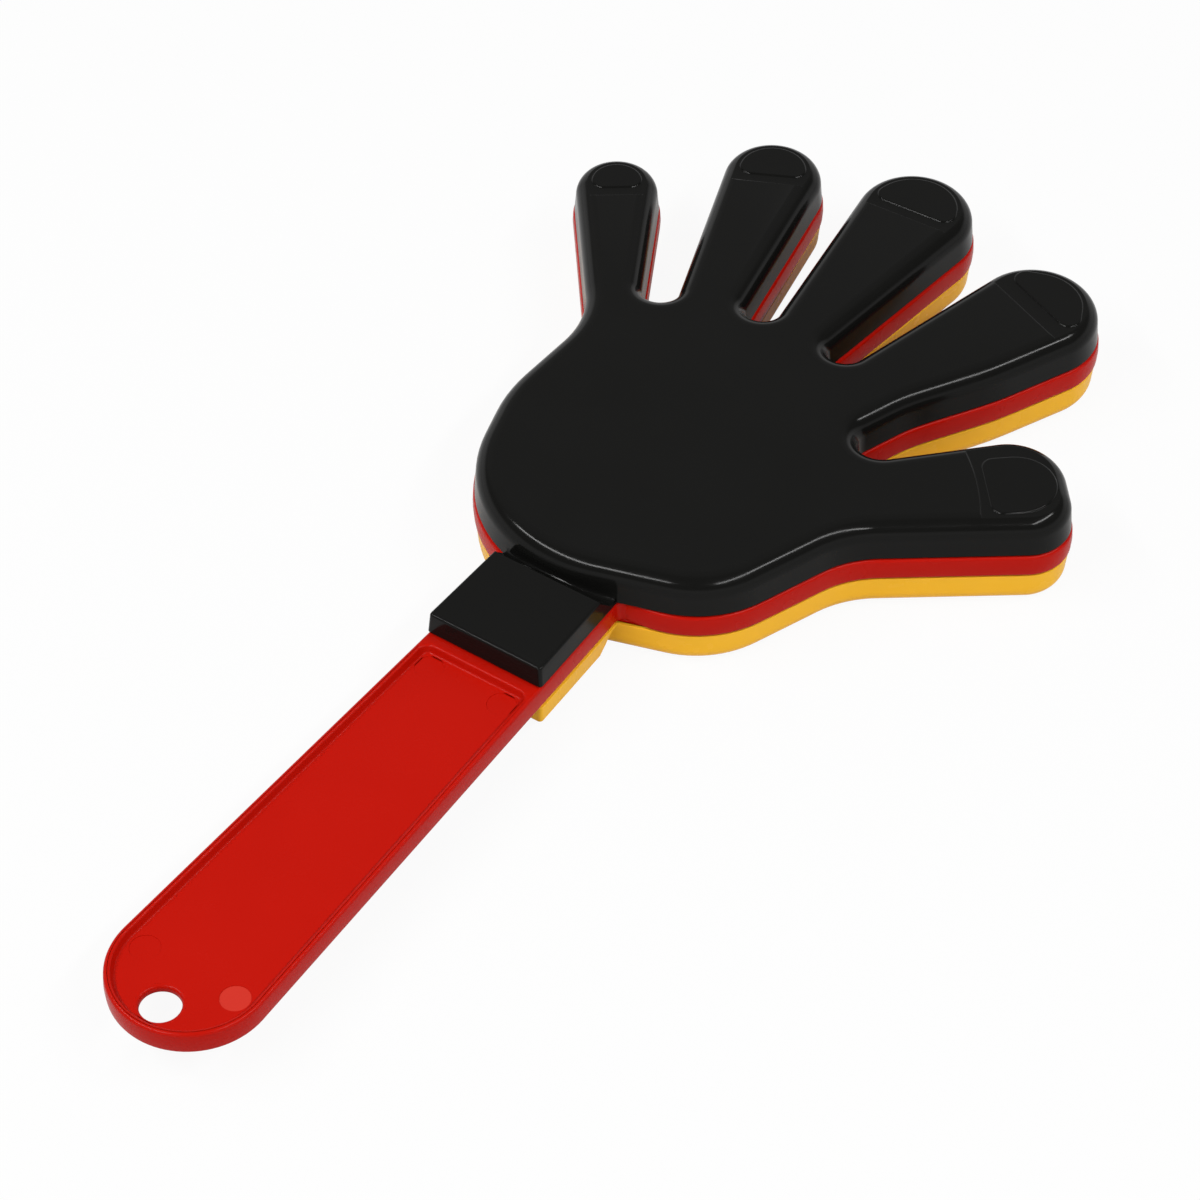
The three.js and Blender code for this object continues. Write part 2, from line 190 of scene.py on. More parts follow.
class Skin:
    """A closed skin in millimetres, sewn together from rings, walls and flat faces."""

    def __init__(self) -> None:
        """Starts an empty skin."""
        self.points: list[Point] = []
        self.faces: list[tuple[int, ...]] = []

    def ring(self, points: Iterable[Point]) -> list[int]:
        """Adds points.

        Args:
            points: where they lie.

        Returns:
            Their numbers.
        """
        first = len(self.points)
        self.points.extend(points)
        return list(range(first, len(self.points)))

    def wall(self, a: Sequence[int], b: Sequence[int], closed: bool = True) -> None:
        """Joins two rings of equal length with quads.

        Args:
            a: the first ring's numbers.
            b: the second ring's numbers.
            closed: whether the last points are joined to the first ones.
        """
        for i in range(len(a) - (0 if closed else 1)):
            j = (i + 1) % len(a)
            self.faces.append((a[i], a[j], b[j], b[i]))

    def stack(self, rings: Sequence[Sequence[Point]]) -> tuple[list[int], list[int]]:
        """Adds rings joined one to the next.

        Args:
            rings: the rings' points, as many in each.

        Returns:
            The numbers of the first ring's points and of the last one's.
        """
        numbers = [self.ring(points) for points in rings]
        for a, b in zip(numbers, numbers[1:]):
            self.wall(a, b)
        return numbers[0], numbers[-1]

    def flat(self, outer: Sequence[int], holes: Sequence[Sequence[int]] = ()) -> None:
        """Closes a level outline, less the outlines of its holes, with triangles.

        Args:
            outer: the numbers of the outline's points.
            holes: the numbers of each hole's points.
        """
        loops = [list(outer), *map(list, holes)]
        numbers = [i for loop in loops for i in loop]
        shapes = [[Vector((*self.points[i][:2], 0.0)) for i in loop] for loop in loops]
        for triangle in tessellate_polygon(shapes):
            self.faces.append(tuple(numbers[i] for i in triangle))

    def mesh(self, name: str) -> bpy.types.Mesh:
        """Makes a Blender mesh of the skin, still in millimetres, facing outwards.

        Args:
            name: the mesh's name.

        Returns:
            The mesh.
        """
        mesh = bpy.data.meshes.new(name)
        mesh.from_pydata(self.points, [], self.faces)
        net = bmesh.new()
        net.from_mesh(mesh)
        bmesh.ops.remove_doubles(net, verts=net.verts, dist=SEW_DISTANCE)
        bmesh.ops.recalc_face_normals(net, faces=net.faces)
        net.to_mesh(mesh)
        net.free()
        return mesh


def lofted(name: str, rings: Sequence[Sequence[Point]]) -> bpy.types.Mesh:
    """Makes a solid that runs through a stack of rings and is flat at both ends.

    Args:
        name: the mesh's name.
        rings: level rings with as many points each, from one end to the other.

    Returns:
        The solid.
    """
    skin = Skin()
    first, last = skin.stack(rings)
    skin.flat(first)
    skin.flat(last)
    return skin.mesh(name)


class Join(Enum):
    """How one solid is put together with another."""

    ADD = "UNION"
    CUT = "DIFFERENCE"


def joined(body: bpy.types.Mesh, other: bpy.types.Mesh, how: Join) -> bpy.types.Mesh:
    """Adds a solid to a body or cuts it out of it.

    Args:
        body: the mesh that is kept.
        other: the mesh that is added or cut out.
        how: which of the two.

    Returns:
        The new mesh.
    """
    kept = bpy.data.objects.new("body", body)
    tool = bpy.data.objects.new("tool", other)
    for thing in (kept, tool):
        bpy.context.scene.collection.objects.link(thing)
    step = kept.modifiers.new("join", "BOOLEAN")
    step.operation = how.value
    step.solver = "EXACT"
    step.object = tool
    graph = bpy.context.evaluated_depsgraph_get()
    result = bpy.data.meshes.new_from_object(kept.evaluated_get(graph))
    for thing in (kept, tool):
        bpy.data.objects.remove(thing)
    return result


def block(x0: float, x1: float, y0: float, y1: float, z0: float, z1: float) -> bpy.types.Mesh:
    """Returns an upright block between two corners."""
    plan = [(x0, y0), (x1, y0), (x1, y1), (x0, y1)]
    return lofted("block", [[(x, y, z) for x, y in plan] for z in (z0, z1)])


def piece(name: str, mesh: bpy.types.Mesh, lift: float, flip: bool) -> bpy.types.Object:
    """Turns a finished solid into an object in the frame's axes, in metres.

    Args:
        name: the piece's name.
        mesh: the solid in millimetres, about its own rim plane.
        lift: height of that plane above the floor.
        flip: whether the solid is seen in the mirror of that plane.

    Returns:
        The object, at the origin, with its place in its mesh.
    """
    side = -1.0 if flip else 1.0
    for vertex in mesh.vertices:
        x, y, z = vertex.co
        vertex.co = (x * MM, y * MM, (lift + side * z) * MM)
    if flip:
        mesh.flip_normals()
    mesh.shade_smooth()
    mesh.set_sharp_from_angle(angle=SHARP_ANGLE)
    mesh.name = name
    thing = bpy.data.objects.new(name, mesh)
    bpy.context.scene.collection.objects.link(thing)
    return thing


def quarter_round(radius: float, steps: int = 6) -> list[Place]:
    """Returns a rounded edge as pairs of how far in and how far below the face.

    Args:
        radius: the rounding's radius.
        steps: how many facets it has.

    Returns:
        The pairs, from the side up to the face.
    """
    angles = [math.pi / 2 * k / steps for k in range(steps + 1)]
    return [(radius * (1 - math.cos(a)), radius * (1 - math.sin(a))) for a in angles]


# ---------------------------------------------------------------- finishes


def linear(colour: str) -> tuple[float, float, float, float]:
    """Turns an sRGB hex colour into a linear one.

    Args:
        colour: six hex digits behind a hash, such as "#c41e14".

    Returns:
        Red, green, blue and an alpha of 1.
    """
    parts = [int(colour[i : i + 2], 16) / 255 for i in (1, 3, 5)]
    line = [c / 12.92 if c <= 0.04045 else ((c + 0.055) / 1.055) ** 2.4 for c in parts]
    return (line[0], line[1], line[2], 1.0)


def add_node(tree: Tree, kind: str, links: dict | None = None, **settings) -> bpy.types.Node:
    """Adds a node with its settings and links.

    Args:
        tree: the node tree.
        kind: the node's type, such as "ShaderNodeTexNoise".
        links: input name or number to a value, or to the output socket that feeds it.
        **settings: the node's own properties.

    Returns:
        The node.
    """
    made = tree.nodes.new(kind)
    for key, value in settings.items():
        setattr(made, key, value)
    for key, value in (links or {}).items():
        if isinstance(value, Socket):
            tree.links.new(value, made.inputs[key])
        else:
            made.inputs[key].default_value = value
    return made


def maths(tree: Tree, operation: str, a: Socket, b: Socket | float) -> Socket:
    """Adds a maths node such as "MAXIMUM" on two values and returns its result."""
    return add_node(tree, "ShaderNodeMath", {0: a, 1: b}, operation=operation).outputs[0]


@dataclass(frozen=True)
class MouldedPolystyrene:
    """Injection-moulded polystyrene from a polished mould: glossy, with faint waves and fine grain.

    Made of noise at real sizes: clouds of pigment, patches of polish, waves of shrinkage, grain.
    """

    name: str
    colour: str
    cloud: str
    roughness: float = 0.2
    roughness_spread: float = 0.06
    ior: float = 1.2
    cloud_mm: float = 22.0
    polish_mm: float = 8.8
    wave_mm: float = 16.0
    wave_depth_mm: float = 0.02
    grain_mm: float = 0.55
    grain_depth_mm: float = 0.0009
    noise_low: float = 0.3
    noise_high: float = 0.7

    def noise(self, tree: Tree, place: Socket, size_mm: float, detail: float) -> Socket:
        """Adds a noise pattern.

        Args:
            tree: the material's node tree.
            place: the socket with the place on the object.
            size_mm: how large the pattern's patches are.
            detail: how many finer layers it has.

        Returns:
            The socket with its level.
        """
        made = add_node(
            tree,
            "ShaderNodeTexNoise",
            {"Vector": place, "Scale": 1 / (size_mm * MM), "Detail": detail},
        )
        return made.outputs["Fac"]

    def pigment(self, tree: Tree, place: Socket) -> Socket:
        """Adds the colour: pigment is never mixed quite evenly, so clouds are lighter.

        Args:
            tree: the material's node tree.
            place: the socket with the place on the object.

        Returns:
            The socket with the colour.
        """
        mix = add_node(tree, "ShaderNodeMix", data_type="RGBA")
        tree.links.new(self.noise(tree, place, self.cloud_mm, 3.0), mix.inputs["Factor"])
        mix.inputs["A"].default_value = linear(self.colour)
        mix.inputs["B"].default_value = linear(self.cloud)
        return mix.outputs["Result"]

    def gloss(self, tree: Tree, place: Socket) -> Socket:
        """Adds the roughness: the mould's polish is uneven, so it changes softly.

        Args:
            tree: the material's node tree.
            place: the socket with the place on the object.

        Returns:
            The socket with the roughness.
        """
        made = add_node(
            tree,
            "ShaderNodeMapRange",
            {
                "Value": self.noise(tree, place, self.polish_mm, 4.0),
                "From Min": self.noise_low,
                "From Max": self.noise_high,
                "To Min": self.roughness - self.roughness_spread / 2,
                "To Max": self.roughness + self.roughness_spread / 2,
            },
        )
        return made.outputs["Result"]

    def relief(self, tree: Tree, place: Socket) -> Socket:
        """Adds the relief: shrinkage leaves broad waves, and the mould leaves a fine grain.

        Args:
            tree: the material's node tree.
            place: the socket with the place on the object.

        Returns:
            The socket with the normal.
        """
        broad = add_node(
            tree,
            "ShaderNodeBump",
            {
                "Height": self.noise(tree, place, self.wave_mm, 1.0),
                "Distance": self.wave_depth_mm * MM,
            },
        )
        fine = add_node(
            tree,
            "ShaderNodeBump",
            {
                "Height": self.noise(tree, place, self.grain_mm, 2.0),
                "Distance": self.grain_depth_mm * MM,
                "Normal": broad.outputs["Normal"],
            },
        )
        return fine.outputs["Normal"]

    def material(self) -> bpy.types.Material:
        """Makes the material.

        Returns:
            The material.
        """
        made = bpy.data.materials.new(self.name)
        made.use_nodes = True
        tree = made.node_tree
        shader = tree.nodes["Principled BSDF"]
        shader.inputs["IOR"].default_value = self.ior
        place = add_node(tree, "ShaderNodeTexCoord").outputs["Object"]
        tree.links.new(self.pigment(tree, place), shader.inputs["Base Color"])
        tree.links.new(self.gloss(tree, place), shader.inputs["Roughness"])
        tree.links.new(self.relief(tree, place), shader.inputs["Normal"])
        return made


# Each IOR is matched to how faintly the faces mirror their surroundings.
# Black pigment in a well polished mould: deep and even, with sharp lines of light
BLACK = MouldedPolystyrene(
    "black_polystyrene_moulded", "#0f0f0e", "#121211", roughness=0.14, ior=1.2
)
# Red and yellow pigment in plainer moulds: broader and softer highlights
RED = MouldedPolystyrene("red_polystyrene_moulded", "#a80e03", "#ae1105", roughness=0.26, ior=1.17)
# The ejector pin's face isn't polished as the mould is, so the mark that it leaves is matt and pale
RED_MATT = MouldedPolystyrene(
    "red_polystyrene_ejector_mark",
    "#bb2b1f",
    "#bd2e22",
    roughness=0.6,
    ior=1.2,
    grain_depth_mm=0.003,
)
YELLOW = MouldedPolystyrene(
    "yellow_polystyrene_moulded", "#efb328", "#f0b62e", roughness=0.26, ior=1.17
)


# ---------------------------------------------------------------- the three mouldings

# The middle hand's thickness, its gap to each outer hand, and an outer hand's height
MIDDLE_T = 5.3
SEAT_GAP = 0.3
SHELL_H = 8.3
# The height of the middle hand's own middle plane above the floor
MIDDLE_Z = SHELL_H + SEAT_GAP + MIDDLE_T / 2
# The hinges' place along the hand, and how far each lies above or below that plane
HINGE_Y = -59.5
HINGE_DZ = MIDDLE_T / 2 + SEAT_GAP
# Cutting solids reach this far past what they cut
CUT_BEYOND = 1.0


@dataclass(frozen=True)
class Handle:
    """The handle's outline: it widens evenly from the neck to its round end."""

    neck_half: float = 13.2
    neck_fillet: float = 1.5
    neck_space: float = 0.3
    end_y: float = -151.7
    end_r: float = 16.3

    def neck_hollow(self, side: int, heel: Arc) -> Arc:
        """Works out the small hollow where the neck runs into the heel.

        Args:
            side: 1 for the right side, -1 for the left one.
            heel: the heel's circle on that side.

        Returns:
            The hollow's circle.
        """
        x = side * (self.neck_half + self.neck_fillet)
        reach = heel.r + self.neck_fillet + self.neck_space
        y = heel.y - math.sqrt(reach**2 - (x - heel.x) ** 2)
        return Arc(x, y, self.neck_fillet, -1)

    def half(self, y: float) -> float:
        """Works out half the handle's width.

        Args:
            y: the place along the handle.

        Returns:
            The half width.
        """
        neck_y = self.neck_hollow(-1, HEEL_LEFT).y
        share = (neck_y - y) / (neck_y - self.end_y)
        return self.neck_half + (self.end_r - self.neck_half) * share


HANDLE = Handle()


@dataclass
class MiddleHand:
    """The middle hand with its handle: a web with a raised rim round pockets on both faces.

    The marks are where ejector pins pushed, and the windows let the outer hands' prongs through.
    """

    web: float = 2.0
    rim_w: float = 1.7
    rim_round: float = 0.7
    wall_draft: float = 0.12
    pocket_draft: float = 0.3
    floor_round: float = 0.55
    floor_facets: int = 4
    mouth_round: float = 0.6
    mouth_facets: int = 5
    band_front_y: float = -62.0
    band_back_y: float = -57.1
    neck_pocket_back_y: float = -39.1
    pocket_corner: float = 2.0
    pocket_arc_step: float = 10.0
    hole_y: float = -160.8
    hole_r: float = 4.0
    hole_round: float = 0.7
    hole_facets: int = 4
    mark_r: float = 3.0
    mark_depth: float = 0.12
    mark_draft: float = 0.05
    mark_sides: int = 40
    marks: tuple[Place, ...] = ((8.7, -65.7), (-8.7, -65.7), (10.5, -152.1), (-10.5, -152.1))
    matt_mark: int = 2
    window_x: Place = (0.7, 10.5)
    window_y: Place = (-56.6, -52.75)

    def outline(self) -> list[EdgePoint]:
        """Runs the whole outline round hand, neck and handle.

        Returns:
            The outline's points.
        """
        left = HANDLE.neck_hollow(-1, HEEL_LEFT)
        right = HANDLE.neck_hollow(1, HEEL_RIGHT)
        return belt([*PALM, left, Arc(0, HANDLE.end_y, HANDLE.end_r), right])

    def pockets(self) -> list[list[EdgePoint]]:
        """Works out the outlines of the pockets' mouths.

        Returns:
            The palm's, the neck's and the handle's.
        """
        corner = self.pocket_corner
        palm = [
            EdgePoint(p.x - self.rim_w * p.nx, p.y - self.rim_w * p.ny, p.nx, p.ny)
            for p in belt(PALM)
        ]

        def corners(y0: float, y1: float) -> list[Arc]:
            """Returns the four corners of a pocket between two places along the handle."""
            places = [(1, y0 + corner), (1, y1 - corner), (-1, y1 - corner), (-1, y0 + corner)]
            return [Arc(s * (HANDLE.half(y) - self.rim_w - corner), y, corner) for s, y in places]

        neck = belt(corners(self.band_back_y, self.neck_pocket_back_y), self.pocket_arc_step)
        end = Arc(0, HANDLE.end_y, HANDLE.end_r - self.rim_w)
        front = corners(self.band_front_y - 2 * corner, self.band_front_y)[1:3]
        handle = belt([end, *front])
        return [palm, neck, handle]

    def face(self, skin: Skin, side: int, edge: Sequence[int]) -> list[int]:
        """Sews one face of the hand: rim top, pocket walls and pocket floors.

        Args:
            skin: the skin that the face joins.
            side: 1 for the upper face, -1 for the lower one.
            edge: the ring where the rim's flat top starts.

        Returns:
            The ring round the hang hole in this face's pocket floor.
        """
        top = side * MIDDLE_T / 2
        floor = side * self.web / 2
        mouths = []
        floors = []
        for mouth in self.pockets():
            rings = [at(mouth, top, -self.mouth_round - HOLD)]
            for inset, drop in reversed(quarter_round(self.mouth_round, self.mouth_facets)):
                rings.append(at(mouth, top - side * drop, -inset))
            for inset, rise in quarter_round(self.floor_round, self.floor_facets):
                rings.append(at(mouth, floor + side * rise, self.pocket_draft + inset))
            rings.append(at(mouth, floor, self.pocket_draft + self.floor_round + HOLD))
            first, last = skin.stack(rings)
            mouths.append(first)
            floors.append(last)
        palm_floor, neck_floor, handle_floor = floors
        skin.flat(edge, mouths)
        skin.flat(palm_floor)
        skin.flat(neck_floor)
        hole_edge = skin.ring(circle(0, self.hole_y, self.hole_r + self.hole_round + HOLD, floor))
        holes = [hole_edge]
        if side > 0:
            holes += [self.ejector_mark(skin, x, y, floor) for x, y in self.marks]
        skin.flat(handle_floor, holes)
        return hole_edge

    def ejector_mark(self, skin: Skin, x: float, y: float, floor: float) -> list[int]:
        """Sinks a shallow round mark into a pocket's floor.

        Args:
            skin: the skin that the mark joins.
            x: where its middle lies across the hand.
            y: where its middle lies along the hand.
            floor: the height of the pocket's floor.

        Returns:
            The ring at its edge.
        """
        bottom = floor - self.mark_depth
        high, low = skin.stack(
            [
                circle(x, y, self.mark_r, floor, self.mark_sides),
                circle(x, y, self.mark_r - self.mark_draft, bottom, self.mark_sides),
            ]
        )
        skin.flat(low)
        return high

    def solid(self) -> bpy.types.Mesh:
        """Makes the moulding about its own middle plane, in millimetres.

        Returns:
            The solid.
        """
        skin = Skin()
        outline = self.outline()
        face = MIDDLE_T / 2
        profile = []
        for inset, drop in quarter_round(self.rim_round):
            profile.append((face - drop, self.wall_draft + inset))
        profile.append((face, self.wall_draft + self.rim_round + HOLD))
        rings = [at(outline, -z, offset + SKIN_INSET) for z, offset in reversed(profile)]
        rings.append(at(outline, 0, SKIN_INSET))
        rings += [at(outline, z, offset + SKIN_INSET) for z, offset in profile]
        low, high = skin.stack(rings)
        upper = self.face(skin, 1, high)
        lower = self.face(skin, -1, low)
        self.hang_hole(skin, upper, lower)
        body = skin.mesh("middle_hand")
        for side in (1, -1):
            x0, x1 = sorted(side * x for x in self.window_x)
            window = block(x0, x1, *self.window_y, -MIDDLE_T, MIDDLE_T)
            body = joined(body, window, Join.CUT)
        return body

    def hang_hole(self, skin: Skin, upper: list[int], lower: list[int]) -> None:
        """Sews the hang hole's rounded wall between the rings round it on the two faces.

        Args:
            skin: the skin that the wall joins.
            upper: the ring on the upper face.
            lower: the ring on the lower face.
        """
        rings = [upper]
        for side in (1, -1):
            for inset, drop in quarter_round(self.hole_round, self.hole_facets)[::-side]:
                z = side * (self.web / 2 - drop)
                rings.append(skin.ring(circle(0, self.hole_y, self.hole_r + inset, z)))
        rings.append(lower)
        for a, b in zip(rings, rings[1:]):
            skin.wall(a, b)

    def build(self) -> bpy.types.Object:
        """Makes the piece and dresses it.

        Returns:
            The piece.
        """
        made = piece("middle_hand_moulding", self.solid(), MIDDLE_Z, False)
        self.dress(made.data)
        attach(made, "middle")
        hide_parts("middle_hand")
        return made

    def dress(self, mesh: bpy.types.Mesh) -> None:
        """Gives the moulding its plastic, and the bottom of one ejector mark the matt one.

        Args:
            mesh: the moulding's mesh, in metres.
        """
        mesh.materials.clear()
        mesh.materials.append(RED.material())
        mesh.materials.append(RED_MATT.material())
        x, y = (c * MM for c in self.marks[self.matt_mark])
        level = (MIDDLE_Z + self.web / 2 - self.mark_depth) * MM
        for face in mesh.polygons:
            centre = face.center
            near = math.hypot(centre.x - x, centre.y - y) < self.mark_r * MM
            face.material_index = int(near and abs(centre.z - level) < LEVEL_DISTANCE * MM)


@dataclass(frozen=True)
class Nail:
    """A nail left standing on a fingertip whose top is lowered by a step.

    Attributes:
        tip: the circle that the nail's round side follows.
        turn: how far the finger is turned from the hand's axis, in degrees.
        back: how far behind the tip's centre the nail's straight side lies.
        bow: how far the step's line bows towards the tip.
        step: how far behind the nail's straight side the step lies.
    """

    tip: Arc
    turn: float
    back: float = 0.0
    bow: float = 0.0
    step: float = 2.6

    def place(self, u: float, v: float) -> Place:
        """Works out where a point of the finger lies on the hand.

        Args:
            u: how far across the finger it lies.
            v: how far towards its tip it lies.

        Returns:
            Its places across and along the hand.
        """
        turn = math.radians(self.turn)
        x = self.tip.x + u * math.cos(turn) - v * math.sin(turn)
        y = self.tip.y + u * math.sin(turn) + v * math.cos(turn)
        return x, y

    def along(self, x: float, y: float) -> Place:
        """Works out where a point of the hand lies on the finger.

        Args:
            x: where it lies across the hand.
            y: where it lies along the hand.

        Returns:
            How far across the finger and how far towards its tip it lies.
        """
        turn = math.radians(self.turn)
        dx, dy = x - self.tip.x, y - self.tip.y
        return dx * math.cos(turn) + dy * math.sin(turn), dy * math.cos(turn) - dx * math.sin(turn)


THUMB_NAIL = Arc(65.4, 34.3, 12.4)
NAILS = (
    Nail(THUMB_NAIL, -50, 6.3, 0.8),
    Nail(INDEX_TIP, -23, -0.6, step=3.8),
    Nail(MIDDLE_TIP, 3, 1.5),
    Nail(RING_TIP, 26, 2.1),
    Nail(LITTLE_TIP, 36, 2.3),
)


@dataclass(frozen=True)
class Crossing:
    """Where a stretch of outline, from start to end along a finger, runs over the step at line."""

    nail: int
    line: float
    start: float
    end: float


@dataclass
class OuterHand:
    """A hollow outer hand: a drafted tray with a lower wrist block and two barbed prongs in it.

    The rows of a fingertip's step pair a place along the finger with the share of the step below
    the top. The rows of a nail's edge pair an inset with the share of the step above the tip.
    """

    name: str
    body: str
    node: str
    slot: str
    finish: MouldedPolystyrene
    prong_x: float
    lower: bool = False

    # The shell, whose outline lies a little inside the middle hand's
    wall: float = 1.6
    inset: float = 0.4
    draft: float = 0.35
    round: float = 4.2
    round_facets: int = 15
    hollow_facets: int = 4
    rim_round: float = 0.15
    rim_middle: float = 0.3

    # The wrist block, and the slope behind it as pairs of height and run
    block_h: float = 4.9
    block_front_y: float = HINGE_Y
    block_back_y: float = -37.7
    block_inset: float = 0.1
    block_draft: float = 0.35
    block_corner: float = 0.8
    block_back_corner: float = 0.3
    block_round: float = 0.6
    block_facets: int = 5
    block_slope: tuple[Place, ...] = ((0.6, 4.9), (1.2, 3.5), (1.9, 2.65), (2.6, 2.1))
    block_foot: float = 7.7
    block_top_share: float = 0.9
    block_side_steps: int = 6
    block_hollow_gap: float = 0.5

    # The fillet where that slope meets the heel
    crease_round: float = 1.5
    crease_steps: int = 40
    crease_arc_step: float = 1.5
    crease_facets: int = 6
    crease_side_gap: float = 0.5
    crease_depth: float = 0.3
    crease_start: float = 0.05
    crease_search: float = 0.02

    # The fingertips
    tip_step: float = 0.3
    tip_reach: float = 1.3
    step_pieces: int = 8
    nail_edge: float = 4.0
    nail_corner: float = 2.6
    nail_arc_step: float = 6.0
    row_margin: float = 0.001
    step_rows: tuple[Place, ...] = (
        (-0.20, 0.0), (-0.12, 0.02), (-0.05, 0.09), (0.02, 0.19), (0.09, 0.35),
        (0.15, 0.56), (0.20, 0.75), (0.26, 0.9), (0.34, 0.98), (0.44, 1.0),
    )
    nail_rows: tuple[Place, ...] = (
        (-0.30, 0.0), (-0.20, 0.02), (-0.12, 0.1), (-0.06, 0.25), (-0.01, 0.44), (0.05, 0.65),
        (0.12, 0.81), (0.19, 0.91), (0.26, 0.98), (0.34, 1.0), (0.42, 1.0),
    )

    # The prongs, whose barbs stop under the middle hand's web when the hand is open
    prong_back: float = 3.2
    prong_t: float = 1.6
    prong_w: float = 4.0
    barb_reach: float = 2.7
    barb_t: float = 1.0
    barb_tip_t: float = 0.4
    barb_stop_gap: float = 0.1
    web_half: float = 1.0
    open_angle: float = 20.0

    def crossings(self, outline: Sequence[EdgePoint]) -> dict[int, Crossing]:
        """Finds where the outline runs over the fingertips' steps.

        Args:
            outline: the palm's outline.

        Returns:
            The crossings by the number of the point that each one follows.
        """
        found = {}
        middle = self.inset + self.draft + self.round
        edge = [(p.x - middle * p.nx, p.y - middle * p.ny) for p in outline]
        for number, nail in enumerate(NAILS):
            line = -nail.back - nail.step
            for i, a in enumerate(edge):
                ua, va = nail.along(*a)
                ub, vb = nail.along(*edge[(i + 1) % len(edge)])
                if max(abs(ua), abs(ub)) > self.tip_reach * nail.tip.r:
                    continue
                if (va - line) * (vb - line) < 0:
                    found[i] = Crossing(number, line, va, vb)
        return found

    def stepped(
        self, outline: Sequence[EdgePoint]
    ) -> tuple[list[EdgePoint], dict[int, list[list[int]]]]:
        """Puts the rows of each fingertip's step into the outline.

        Args:
            outline: the palm's outline.

        Returns:
            The outline with the rows' points added and all points of the tips marked as dropped,
            and for each nail's number its rows' points at the first and second crossing.
        """
        result: list[EdgePoint] = []
        rows: dict[int, list[list[int]]] = {}
        crossings = self.crossings(outline)
        lowered = False
        for i, a in enumerate(outline):
            result.append(EdgePoint(a.x, a.y, a.nx, a.ny, 1.0 if lowered else 0.0))
            if i not in crossings:
                continue
            crossing = crossings[i]
            b = outline[(i + 1) % len(outline)]
            lowered = crossing.end > crossing.start
            added = []
            for v, drop in self.step_rows if lowered else self.step_rows[::-1]:
                share = crossing.line + v - crossing.start
                share /= crossing.end - crossing.start
                share = min(1 - self.row_margin, max(self.row_margin, share))
                added.append(len(result))
                result.append(between(a, b, share, drop))
            rows.setdefault(crossing.nail, []).append(added)
        return result, rows

    def nail_outline(self, nail: Nail) -> list[EdgePoint]:
        """Runs the outline of a nail's D, with its straight side behind the fingertip's centre.

        Args:
            nail: the nail.

        Returns:
            The outline's points.
        """
        r = nail.tip.r - self.inset - self.nail_edge
        corner = self.nail_corner
        arcs = [Arc(*nail.place(u, corner - nail.back), corner) for u in (corner - r, r - corner)]
        return belt([*arcs, Arc(nail.tip.x, nail.tip.y, r)], self.nail_arc_step)

    def top(self, skin: Skin, edge: list[int], rows: dict[int, list[list[int]]]) -> None:
        """Sews the hand's flat top with its stepped fingertips and standing nails.

        Args:
            skin: the skin that the top joins.
            edge: the ring that the top starts from, one number for each point of the outline.
            rows: for each nail's number, the step's points at its two crossings.
        """
        starts = {up[0]: (NAILS[number], up, down) for number, (up, down) in rows.items()}
        main: list[int] = []
        i = 0
        while i < len(edge):
            main.append(edge[i])
            if i not in starts:
                i += 1
                continue
            nail, up, down = starts[i]
            lines = [
                self.step_line(skin, nail, edge[a], edge[b], SHELL_H - self.tip_step * drop)
                for a, b, (_, drop) in zip(up, down[::-1], self.step_rows)
            ]
            for a, b in zip(lines, lines[1:]):
                skin.wall(a, b, closed=False)
            main.extend(lines[0][1:-1])
            self.fingertip(skin, nail, edge[up[-1] : down[0] + 1] + lines[-1][1:-1][::-1])
            i = down[-1]
        skin.flat(main)

    def step_line(self, skin: Skin, nail: Nail, a: int, b: int, z: float) -> list[int]:
        """Adds one bowed line of a fingertip's step.

        Args:
            skin: the skin that the line joins.
            nail: the fingertip's nail.
            a: the number of the line's first point on the edge.
            b: the number of its last point.
            z: the line's height.

        Returns:
            The numbers of the line's points.
        """
        ua, va = nail.along(*skin.points[a][:2])
        ub, vb = nail.along(*skin.points[b][:2])
        inner = []
        for k in range(1, self.step_pieces):
            t = k / self.step_pieces
            bow = nail.bow * 4 * t * (1 - t)
            inner.append((*nail.place(ua + (ub - ua) * t, va + (vb - va) * t + bow), z))
        return [a, *skin.ring(inner), b]

    def fingertip(self, skin: Skin, nail: Nail, tip: list[int]) -> None:
        """Closes a lowered fingertip round its standing nail.

        Args:
            skin: the skin that they join.
            nail: the nail.
            tip: the ring round the fingertip's lowered top.
        """
        low = SHELL_H - self.tip_step
        shape = self.nail_outline(nail)
        first, last = skin.stack(
            [at(shape, low + self.tip_step * rise, inset) for inset, rise in self.nail_rows]
        )
        skin.flat(tip, [first])
        skin.flat(last)

    def palm(self) -> bpy.types.Mesh:
        """Makes the palm and fingers, solid from the rim plane to the top.

        Returns:
            The solid.
        """
        outline, rows = self.stepped(belt(PALM))
        edge = self.inset + SKIN_INSET
        foot = [(0.0, self.rim_round + HOLD), *self.rim_edge()]
        rings = [at(outline, z, edge + offset) for z, offset in foot]
        start = edge + self.draft
        for k in range(self.round_facets + 1):
            degrees = 90 * k / self.round_facets
            rings.append([self.rounded(p, start, degrees, 0.0) for p in outline])
        rings.append([self.rounded(p, start, 90, HOLD) for p in outline])
        skin = Skin()
        first, last = skin.stack(rings)
        skin.flat(first)
        self.top(skin, last, rows)
        return skin.mesh("palm")

    def rim_edge(self) -> list[Place]:
        """Returns the rim's small rounding as pairs of height and inset, from the rim up."""
        low, middle = self.rim_round, self.rim_round * self.rim_middle
        return [(0.0, low), (middle, middle), (low, 0.0)]

